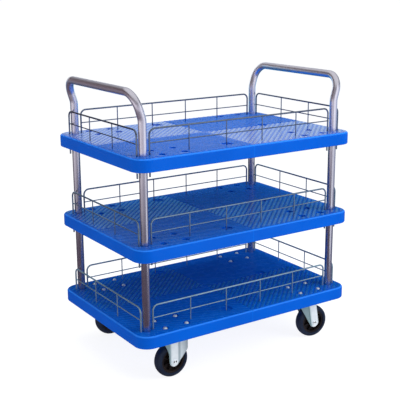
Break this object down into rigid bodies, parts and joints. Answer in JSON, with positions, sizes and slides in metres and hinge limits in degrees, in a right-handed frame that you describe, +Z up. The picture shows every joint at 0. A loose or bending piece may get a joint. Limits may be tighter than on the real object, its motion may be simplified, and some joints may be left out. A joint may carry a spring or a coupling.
{
  "type": "three-tier platform cart",
  "caption": "Three-tier platform cart: blue moulded decks with wire rails on steel tube posts, a bent tube handle at each end, fixed casters at one end and swivel casters at the other.",
  "frame": {"origin": "on the floor under the middle of the decks", "axes": "+X along the decks towards the swivel casters, +Y across the decks, +Z up"},
  "size_m": [0.91, 0.61, 1.0175],
  "materials": {
    "deck_plastic": "glossy moulded blue",
    "post_tube": "polished stainless tube",
    "rail_wire": "bright chromed wire",
    "zinc_plate": "pressed steel, bluish zinc plating",
    "fastener_steel": "zinc-plated fasteners",
    "hub_plastic": "dark moulded plastic",
    "tyre_rubber": "navy-black solid rubber"
  },
  "bodies": {
    "cart": {"deck_low": "deck_plastic", "rail_low_front": "rail_wire", "rail_low_back": "rail_wire", "rail_low_left": "rail_wire", "rail_low_right": "rail_wire", "deck_middle": "deck_plastic", "rail_middle_front": "rail_wire", "rail_middle_back": "rail_wire", "rail_middle_left": "rail_wire", "rail_middle_right": "rail_wire", "deck_high": "deck_plastic", "rail_high_front": "rail_wire", "rail_high_back": "rail_wire", "rail_high_left": "rail_wire", "rail_high_right": "rail_wire", "lower_post_fl": "post_tube", "upper_post_fl": "post_tube", "lower_post_fr": "post_tube", "upper_post_fr": "post_tube", "lower_post_bl": "post_tube", "upper_post_bl": "post_tube", "lower_post_br": "post_tube", "upper_post_br": "post_tube", "handle_left": "post_tube", "handle_right": "post_tube", "tie_rods": "fastener_steel", "tie_rod_washers": "fastener_steel", "tie_rod_nuts": "fastener_steel", "handle_plugs": "fastener_steel", "caster_bolts": "fastener_steel", "caster_nuts": "fastener_steel", "rail_nuts": "fastener_steel", "fixed_axles": "fastener_steel", "fixed_axle_nuts": "fastener_steel", "fixed_wheel_sleeves": "fastener_steel", "fixed_bracket_fl": "zinc_plate", "fixed_bracket_bl": "zinc_plate", "swivel_plate_fr": "zinc_plate", "kingpin_fr": "fastener_steel", "swivel_plate_br": "zinc_plate", "kingpin_br": "fastener_steel"},
    "wheel_fl": {"hub_fl": "hub_plastic", "tyre_fl": "tyre_rubber"},
    "wheel_fr": {"hub_fr": "hub_plastic", "tyre_fr": "tyre_rubber"},
    "wheel_bl": {"hub_bl": "hub_plastic", "tyre_bl": "tyre_rubber"},
    "wheel_br": {"hub_br": "hub_plastic", "tyre_br": "tyre_rubber"},
    "fork_fr": {"swivel_fork_fr": "zinc_plate", "swivel_race_fr": "fastener_steel", "axle_fr": "fastener_steel", "axle_nut_fr": "fastener_steel", "wheel_sleeve_fr": "fastener_steel"},
    "fork_br": {"swivel_fork_br": "zinc_plate", "swivel_race_br": "fastener_steel", "axle_br": "fastener_steel", "axle_nut_br": "fastener_steel", "wheel_sleeve_br": "fastener_steel"}
  },
  "joints": [
    {"name": "swivel_fr", "type": "hinge", "parent": "cart", "child": "fork_fr", "pos_m": [0.297, -0.226, 0.1565], "axis": [0, 0, 1], "continuous": true},
    {"name": "swivel_br", "type": "hinge", "parent": "cart", "child": "fork_br", "pos_m": [0.297, 0.226, 0.1565], "axis": [0, 0, 1], "continuous": true},
    {"name": "roll_fl", "type": "hinge", "parent": "cart", "child": "wheel_fl", "pos_m": [-0.297, -0.226, 0.0625], "axis": [0, 1, 0], "continuous": true},
    {"name": "roll_fr", "type": "hinge", "parent": "fork_fr", "child": "wheel_fr", "pos_m": [0.33661, -0.23157, 0.0625], "axis": [0.1392, 0.9903, 0], "continuous": true},
    {"name": "roll_bl", "type": "hinge", "parent": "cart", "child": "wheel_bl", "pos_m": [-0.297, 0.226, 0.0625], "axis": [0, 1, 0], "continuous": true},
    {"name": "roll_br", "type": "hinge", "parent": "fork_br", "child": "wheel_br", "pos_m": [0.337, 0.226, 0.0625], "axis": [0, 1, 0], "continuous": true}
  ]
}
